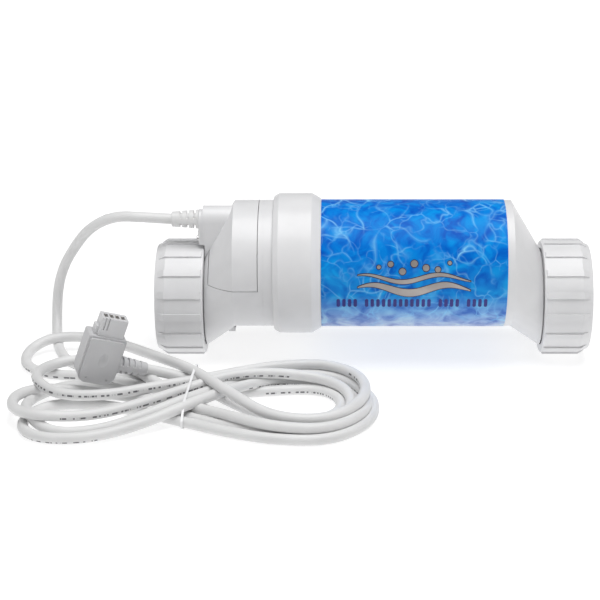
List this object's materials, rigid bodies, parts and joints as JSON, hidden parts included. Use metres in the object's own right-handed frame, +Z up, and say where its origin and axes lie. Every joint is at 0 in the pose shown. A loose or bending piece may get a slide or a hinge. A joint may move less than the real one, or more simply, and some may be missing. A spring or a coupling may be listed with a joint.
{
  "type": "salt chlorine generator",
  "caption": "Salt chlorine generator cell: clear-bore tube with offset union ports, plate pack, wiring cover, and a cell cord tied in a hank with a right-angle plug.",
  "frame": {"origin": "on the floor under the middle of the cell, between the two union nuts", "axes": "+X along the tube from inlet to outlet, +Y to the back, +Z up"},
  "size_m": [0.4685, 0.2447, 0.1354],
  "materials": {
    "shell_white": "satin moulded PVC",
    "label_film": "printed glossy film",
    "rubber_black": "matte",
    "titanium": "brushed",
    "coated_titanium": "dark oxide coating",
    "comb_plastic": "moulded",
    "wire_insulation": "extruded",
    "screw_steel": "bright",
    "cord_jacket": "soft satin PVC jacket",
    "tie_film": "thin plastic ribbon",
    "plug_shell": "moulded satin",
    "plug_white": "moulded nylon",
    "contact_brass": "plated"
  },
  "bodies": {
    "cell": {"cell_body": "shell_white", "label_wrap": "label_film", "collar_ring": "shell_white", "body_seal": "rubber_black", "end_cap": "shell_white", "terminal_cover": "shell_white", "cover_plate": "shell_white", "plate_screws": "screw_steel", "strain_relief": "cord_jacket", "anode_plates": "coated_titanium", "cathode_plates": "titanium", "anode_bus": "titanium", "cathode_bus": "titanium", "plate_combs": "comb_plastic", "terminal_seals": "rubber_black", "terminal_nuts": "titanium", "power_wires": "wire_insulation", "temperature_sensor": "comb_plastic", "inlet_seal": "rubber_black", "outlet_seal": "rubber_black", "cord_lead": "cord_jacket", "cord_hank": "cord_jacket", "cord_tail": "cord_jacket", "hank_tie": "tie_film", "plug_body": "plug_shell", "plug_insert": "plug_white", "plug_contacts": "contact_brass", "plug_relief": "plug_shell"},
    "inlet_tail": {"inlet_tailpiece": "shell_white"},
    "inlet_union_nut": {"inlet_nut": "shell_white"},
    "outlet_tail": {"outlet_tailpiece": "shell_white"},
    "outlet_union_nut": {"outlet_nut": "shell_white"}
  },
  "joints": [
    {"name": "inlet_tail_slide", "type": "slide", "parent": "cell", "child": "inlet_tail", "axis": [-1, 0, 0], "range_m": [0, 0.0151]},
    {"name": "inlet_nut_turn", "type": "hinge", "parent": "inlet_tail", "child": "inlet_union_nut", "pos_m": [-0.16, 0, 0.048], "axis": [-1, 0, 0], "range_deg": [0, 1080]},
    {"name": "outlet_tail_slide", "type": "slide", "parent": "cell", "child": "outlet_tail", "axis": [1, 0, 0], "range_m": [0, 0.0151]},
    {"name": "outlet_nut_turn", "type": "hinge", "parent": "outlet_tail", "child": "outlet_union_nut", "pos_m": [0.16, 0, 0.048], "axis": [1, 0, 0], "range_deg": [0, 1080]}
  ],
  "couplings": [
    {"joint": "inlet_tail_slide", "follows": "inlet_nut_turn", "m_per_rad": 0.00079577},
    {"joint": "outlet_tail_slide", "follows": "outlet_nut_turn", "m_per_rad": 0.00079577}
  ]
}
